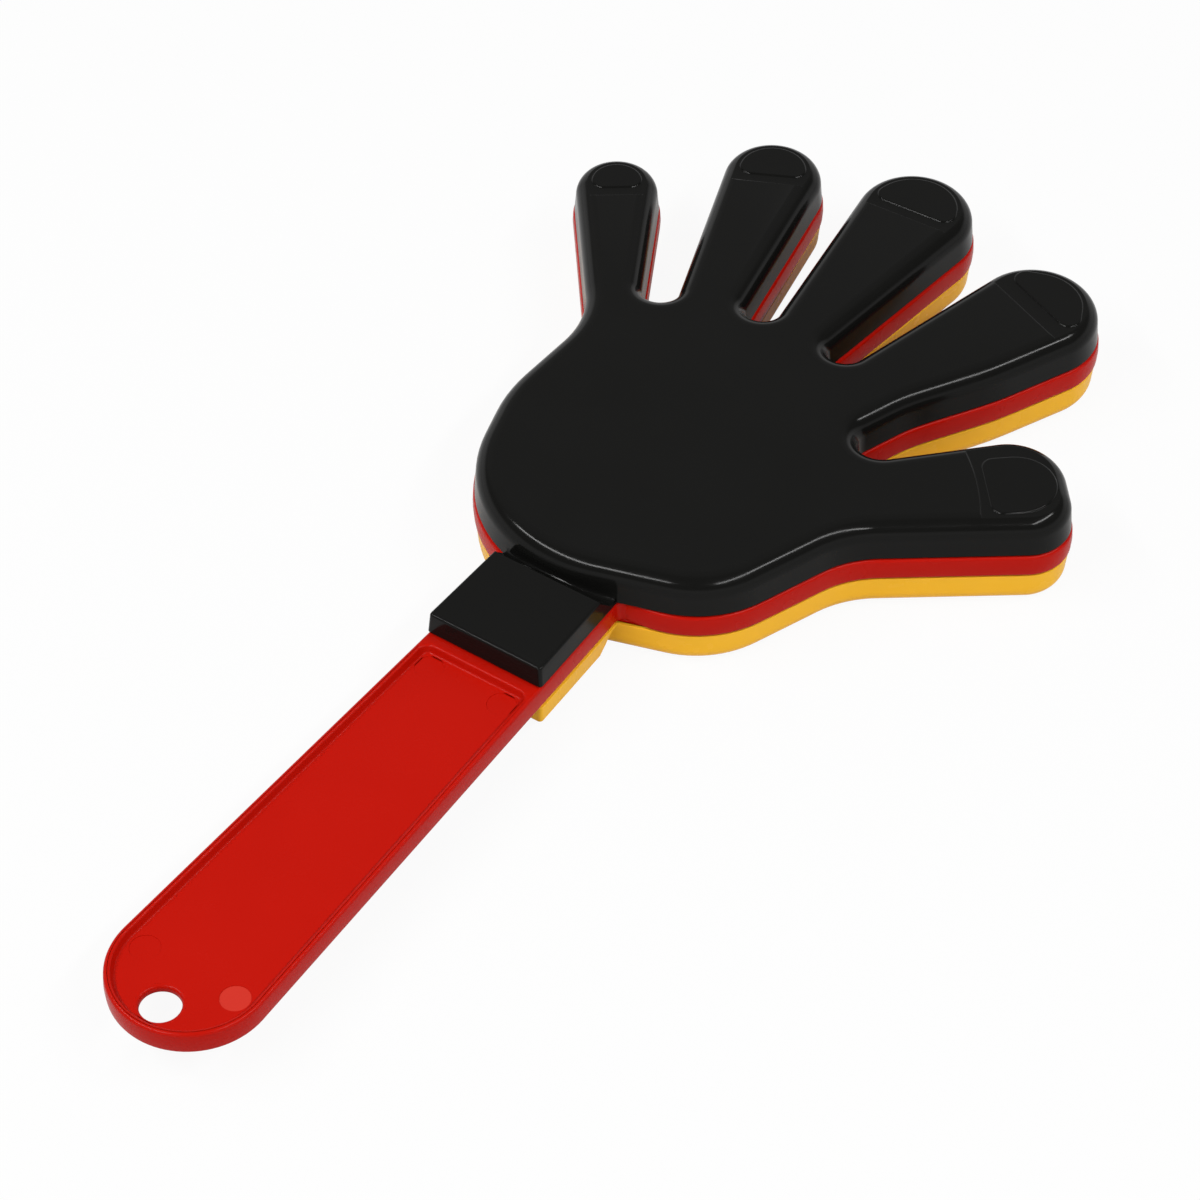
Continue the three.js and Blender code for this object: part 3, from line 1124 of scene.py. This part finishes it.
    def rounded(self, p: EdgePoint, start: float, degrees: float, beyond: float) -> Point:
        """Works out a point of the big rounding from side to top, cut off by a fingertip's step.

        Args:
            p: the outline's point.
            start: how far inside the outline the rounding starts.
            degrees: how far round it the point lies, 90 at the top.
            beyond: how far past that point along the level top.

        Returns:
            The point.
        """
        limit = math.asin(1 - self.tip_step * p.drop / self.round)
        angle = min(math.radians(degrees), limit)
        reach = start + self.round * (1 - math.cos(angle)) + beyond
        z = SHELL_H - self.round * (1 - math.sin(angle))
        return (p.x - reach * p.nx, p.y - reach * p.ny, z)

    def cavity(self) -> bpy.types.Mesh:
        """Makes the hollow of the palm and fingers.

        Returns:
            The solid to cut out.
        """
        outline = belt(PALM)
        inside = self.inset + self.wall
        ceiling = SHELL_H - self.wall
        low = self.round - self.wall
        rings = [at(outline, -CUT_BEYOND, inside)]
        for inset, drop in quarter_round(low, self.hollow_facets):
            rings.append(at(outline, ceiling - drop, inside + self.draft + inset))
        return lofted("cavity", rings)

    def wrist(self, grow: float, levels: Sequence[tuple[float, float, float]]) -> bpy.types.Mesh:
        """Lofts the wrist block or its hollow through levels.

        Args:
            grow: how far the block's sides move in, 0 for the block itself.
            levels: height, inset and back end of each level, from the lowest up.

        Returns:
            The solid.
        """
        front = max(self.block_corner - grow, self.block_back_corner)
        rear = self.block_back_corner
        steps = self.block_side_steps
        rings = []
        for z, inset, back in levels:
            start = self.block_front_y + grow + inset + front
            end = back - rear
            places = ((1, start, front), (1, end, rear), (-1, end, rear), (-1, start, front))
            points = []
            for number, (side, y, corner) in enumerate(places):
                x = side * (HANDLE.half(y) - self.block_inset - grow - inset - corner)
                for k in range(steps + 1):
                    turn = math.radians(90 * (number - 1 + k / steps))
                    points.append((x + corner * math.cos(turn), y + corner * math.sin(turn), z))
            rings.append(points)
        return lofted("wrist", rings)

    def block_outside(self) -> bpy.types.Mesh:
        """Makes the wrist block: drafted sides, a level top and a slope down to the heel.

        Returns:
            The solid.
        """
        foot = self.block_back_y + self.block_foot
        levels = [(z, inset, foot) for z, inset in self.rim_edge()]
        for z, run in self.block_slope:
            levels.append((z, self.block_draft * z / self.block_h, self.block_back_y + run))
        drafted = self.block_draft * self.block_top_share
        for inset, drop in quarter_round(self.block_round, self.block_facets):
            back = self.block_back_y + self.block_round / 2 - inset
            levels.append((self.block_h - drop, drafted + inset, back))
        inset = drafted + self.block_round + HOLD
        levels.append((self.block_h, inset, self.block_back_y - self.block_round / 2 - HOLD))
        return self.wrist(0.0, levels)

    def block_inside(self) -> bpy.types.Mesh:
        """Makes the hollow of the wrist block, open below.

        Returns:
            The solid to cut out.
        """
        ceiling = self.block_h - self.wall
        back = self.block_back_y - self.block_hollow_gap
        low = self.block_round
        draft = self.block_draft / 2
        levels = [(-CUT_BEYOND, 0.0, back), (ceiling - low, draft, back)]
        return self.wrist(self.wall, [*levels, (ceiling, draft + low, back - low)])

    def prong(self, x: float) -> bpy.types.Mesh:
        """Makes a barbed prong that stands under the block's ceiling.

        Args:
            x: where its middle lies across the hand.

        Returns:
            The solid.
        """
        angle = math.radians(self.open_angle)
        back = self.prong_back + self.prong_t
        tip = back + self.barb_reach
        drop = HINGE_DZ + self.web_half + self.barb_stop_gap
        depth = (drop + tip * math.sin(angle)) / math.cos(angle)
        ceiling = self.block_h - self.wall / 2
        profile = [
            (self.prong_back, ceiling), (self.prong_back, -depth - self.barb_t),
            (back, -depth - self.barb_t), (tip, -depth - self.barb_tip_t),
            (tip, -depth), (back, -depth), (back, ceiling),
        ]
        skin = Skin()
        sides = []
        for edge in (x - self.prong_w / 2, x + self.prong_w / 2):
            sides.append(skin.ring((edge, HINGE_Y + y, z) for y, z in profile))
        skin.wall(*sides)
        for side in sides:
            skin.faces.append(tuple(side))
        return skin.mesh("prong")

    def solid(self) -> bpy.types.Mesh:
        """Makes the moulding with its rim plane at 0 and its palm up, in millimetres.

        Returns:
            The solid.
        """
        body = joined(self.palm(), self.block_outside(), Join.ADD)
        body = joined(body, self.crease(), Join.ADD)
        body = joined(body, self.cavity(), Join.CUT)
        body = joined(body, self.block_inside(), Join.CUT)
        for side in (1, -1):
            body = joined(body, self.prong(side * self.prong_x), Join.ADD)
        return body

    def block_back(self, z: float) -> float:
        """Works out where the slope behind the wrist block stands.

        Args:
            z: the height above the rim plane.

        Returns:
            The place along the hand.
        """
        slope = [(0.0, self.block_foot), *self.block_slope, (self.block_h, 0.0)]
        for (z0, run0), (z1, run1) in zip(slope, slope[1:]):
            if z <= z1:
                return self.block_back_y + run0 + (run1 - run0) * (z - z0) / (z1 - z0)
        return self.block_back_y

    def heel_wall(self, z: float) -> float:
        """Returns how far outside the outline the heel's drafted wall stands, which is negative."""
        return -(self.inset + SKIN_INSET + self.draft * z / (SHELL_H - self.round))

    def crease_section(self, p: EdgePoint) -> list[Place]:
        """Works out a section of the crease's fillet, found by going up the slope to the wall.

        Args:
            p: the point of the heel's outline where it lies.

        Returns:
            Pairs of how far outside the outline and how high.
        """
        z = self.crease_start
        while z < SHELL_H - self.round and (self.block_back(z) - p.y) / p.ny < self.heel_wall(z):
            z += self.crease_search
        corner = (self.heel_wall(z), z)
        top = (self.heel_wall(z + self.crease_round), z + self.crease_round)
        foot = corner
        while math.dist(foot, corner) < self.crease_round and foot[1] < self.block_h:
            z = foot[1] + self.crease_search
            foot = ((self.block_back(z) - p.y) / p.ny, z)
        bow = []
        for k in range(self.crease_facets + 1):
            t = k / self.crease_facets
            weights = ((1 - t) ** 2, 2 * t * (1 - t), t * t)
            points = (top, corner, foot)
            bow.append(tuple(sum(w * v[i] for w, v in zip(weights, points)) for i in (0, 1)))
        deep = self.crease_depth
        buried = [(foot[0], foot[1] - deep), (corner[0] - deep, corner[1] - deep)]
        return [(top[0] - deep, top[1]), *bow, *buried]

    def crease(self) -> bpy.types.Mesh:
        """Makes the soft fillet that fills the crease where the block's slope meets the heel.

        Returns:
            The solid.
        """
        heel = sorted((p for p in belt(PALM, self.crease_arc_step) if p.y < 0), key=lambda p: p.x)
        side = HANDLE.neck_half - self.crease_side_gap
        rings = []
        for number in range(self.crease_steps + 1):
            x = side * (2 * number / self.crease_steps - 1)
            a, b = next((a, b) for a, b in zip(heel, heel[1:]) if a.x <= x <= b.x)
            share = (x - a.x) / (b.x - a.x)
            y, nx, ny = (u + (v - u) * share for u, v in ((a.y, b.y), (a.nx, b.nx), (a.ny, b.ny)))
            p = EdgePoint(x, y, nx, ny)
            rings.append([(p.x + s * p.nx, p.y + s * p.ny, z) for s, z in self.crease_section(p)])
        skin = Skin()
        first, last = skin.stack(rings)
        skin.faces += [tuple(first), tuple(last)]
        return skin.mesh("crease")

    def build(self) -> bpy.types.Object:
        """Makes the piece and dresses it.

        Returns:
            The piece.
        """
        lift = MIDDLE_Z + (-HINGE_DZ if self.lower else HINGE_DZ)
        made = piece(self.name, self.solid(), lift, self.lower)
        made.data.materials.clear()
        made.data.materials.append(self.finish.material())
        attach(made, self.body)
        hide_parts(self.node)
        return made


# ---------------------------------------------------------------- studio


@dataclass(frozen=True)
class Softbox:
    """A flat soft light that faces the object: its place in degrees, its size in metres."""

    name: str
    azimuth: float
    elevation: float
    width: float
    height: float
    radiance: float


@dataclass(frozen=True)
class Studio:
    """A pale floor, a softbox on each side, the room's light and the camera.

    Angles are in degrees, those of the backdrop above the floor and those of the sweep from its
    middle, which lies opposite the camera. Levels are shares of white.
    """

    azimuth: float = 34.3
    elevation: float = 46.1
    distance: float = 0.800
    lens: float = 120.24
    sensor: float = 36.0
    target_mm: Point = (8.107, -30.902, 11.25)
    floor_size: float = 6.0
    floor_colour: str = "#d0d0d0"
    floor_roughness: float = 0.9
    floor_lift: float = 0.93
    floor_gloss: float = 0.3
    backdrop_full: float = 14.0
    backdrop_end: float = 24.0
    sweep_full: float = 25.0
    sweep_end: float = 50.0
    sweep_level: float = 0.42
    ceiling_level: float = 0.15
    lamp_away: float = 1.2
    softboxes: tuple[Softbox, ...] = (
        Softbox("left_softbox", -33.0, 53.0, 1.2, 0.1, 30.0),
        Softbox("right_softbox", 95.0, 53.0, 1.07, 0.09, 30.0),
    )

    def direction(self, azimuth: float, elevation: float) -> Vector:
        """Returns the direction from the target towards a place round it, in degrees."""
        a, e = math.radians(azimuth), math.radians(elevation)
        return Vector((math.sin(a) * math.cos(e), -math.cos(a) * math.cos(e), math.sin(e)))

    def aim(self, made: bpy.types.Object, azimuth: float, elevation: float, away: float) -> None:
        """Puts an object at a place round the target, facing it.

        Args:
            made: the camera or lamp.
            azimuth: where it hangs round the target, in degrees.
            elevation: how high it hangs, in degrees.
            away: how far away it is, in metres.
        """
        back = self.direction(azimuth, elevation)
        made.location = Vector(self.target_mm) * MM + back * away
        made.rotation_mode = "QUATERNION"
        made.rotation_quaternion = (-back).to_track_quat("-Z", "Y")
        bpy.context.scene.collection.objects.link(made)

    def camera(self) -> None:
        """Puts the camera at the photograph's angle."""
        data = bpy.data.cameras.new("camera")
        data.lens = self.lens
        data.sensor_width = self.sensor
        data.clip_start = 0.01
        made = bpy.data.objects.new("camera", data)
        self.aim(made, self.azimuth, self.elevation, self.distance)
        bpy.context.scene.camera = made

    def lamp(self, box: Softbox) -> None:
        """Hangs a softbox.

        Args:
            box: the softbox.
        """
        data = bpy.data.lights.new(box.name, "AREA")
        data.shape = "RECTANGLE"
        data.size, data.size_y = box.width, box.height
        data.energy = box.radiance * math.pi * box.width * box.height
        made = bpy.data.objects.new(box.name, data)
        self.aim(made, box.azimuth, box.elevation, self.lamp_away)

    def floor(self) -> None:
        """Lays the pale floor on which the part stands."""
        half = self.floor_size / 2
        mesh = bpy.data.meshes.new("floor")
        corners = [(-half, -half, 0), (half, -half, 0), (half, half, 0), (-half, half, 0)]
        mesh.from_pydata(corners, [], [(0, 1, 2, 3)])
        mesh.materials.append(self.floor_paper())
        made = bpy.data.objects.new("floor", mesh)
        bpy.context.scene.collection.objects.link(made)

    def floor_paper(self) -> bpy.types.Material:
        """Makes pale paper, mostly white to the camera and to transmission rays.

        The rest is the paper itself, which keeps a soft shadow. Glossy rays see less of the white.

        Returns:
            The material.
        """
        pale = bpy.data.materials.new("floor_paper")
        pale.use_nodes = True
        tree = pale.node_tree
        shader = tree.nodes["Principled BSDF"]
        shader.inputs["Base Color"].default_value = linear(self.floor_colour)
        shader.inputs["Roughness"].default_value = self.floor_roughness
        rays = add_node(tree, "ShaderNodeLightPath").outputs
        seen = maths(tree, "MAXIMUM", rays["Is Camera Ray"], rays["Is Transmission Ray"])
        white = maths(tree, "MULTIPLY", seen, self.floor_lift)
        mirrored = maths(tree, "MULTIPLY", rays["Is Glossy Ray"], self.floor_gloss)
        share = maths(tree, "MAXIMUM", white, mirrored)
        glow = add_node(tree, "ShaderNodeEmission", {"Color": (1, 1, 1, 1), "Strength": 1.0})
        both = add_node(tree, "ShaderNodeMixShader", {"Fac": share})
        tree.links.new(shader.outputs["BSDF"], both.inputs[1])
        tree.links.new(glow.outputs["Emission"], both.inputs[2])
        tree.links.new(both.outputs["Shader"], tree.nodes["Material Output"].inputs["Surface"])
        return pale

    def fade(self, tree: Tree, value: Socket, places: Place, levels: Place) -> Socket:
        """Adds a soft change from one level to another.

        Args:
            tree: the node tree.
            value: the socket that says where it is.
            places: the values at which the change starts and ends.
            levels: the levels before and after it.

        Returns:
            The socket with the level.
        """
        made = add_node(
            tree,
            "ShaderNodeMapRange",
            {
                "Value": value,
                "From Min": places[0],
                "From Max": places[1],
                "To Min": levels[0],
                "To Max": levels[1],
            },
            interpolation_type="SMOOTHSTEP",
        )
        return made.outputs["Result"]

    def world(self) -> None:
        """Lights the room from a low white backdrop, a paler sweep behind and a dim ceiling."""
        world = bpy.data.worlds.new("studio")
        bpy.context.scene.world = world
        world.use_nodes = True
        tree = world.node_tree
        back = tree.nodes["Background"]
        back.inputs["Color"].default_value = (1, 1, 1, 1)
        way = add_node(tree, "ShaderNodeTexCoord").outputs["Generated"]
        height = add_node(tree, "ShaderNodeSeparateXYZ", {"Vector": way}).outputs["Z"]
        rise = tuple(math.sin(math.radians(a)) for a in (self.backdrop_full, self.backdrop_end))
        low = self.fade(tree, height, rise, (1.0, self.ceiling_level))
        behind = self.direction(self.azimuth + 180.0, self.elevation)
        nearness = add_node(
            tree, "ShaderNodeVectorMath", {0: way, 1: behind}, operation="DOT_PRODUCT"
        ).outputs["Value"]
        turn = tuple(math.cos(math.radians(a)) for a in (self.sweep_end, self.sweep_full))
        sweep = self.fade(tree, nearness, turn, (self.ceiling_level, self.sweep_level))
        tree.links.new(maths(tree, "MAXIMUM", low, sweep), back.inputs["Strength"])

    def build(self) -> None:
        """Sets up the whole studio."""
        self.camera()
        self.floor()
        self.world()
        for box in self.softboxes:
            self.lamp(box)
        bpy.context.scene.view_settings.view_transform = "Standard"


def main() -> None:
    logging.basicConfig(level=logging.INFO, format="%(name)s: %(message)s")
    Studio().build()
    parts = [
        MiddleHand(),
        OuterHand(
            "upper_hand_moulding", "upper", "upper_hand", "black_plastic", BLACK, prong_x=7.9
        ),
        OuterHand(
            "lower_hand_moulding", "lower", "lower_hand", "yellow_plastic", YELLOW,
            prong_x=3.3, lower=True,
        ),
    ]
    for part in parts:
        made = part.build()
        LOG.info("%s: %d faces", made.name, len(made.data.polygons))
    bpy.context.view_layer.update()


if __name__ == "__main__":
    main()
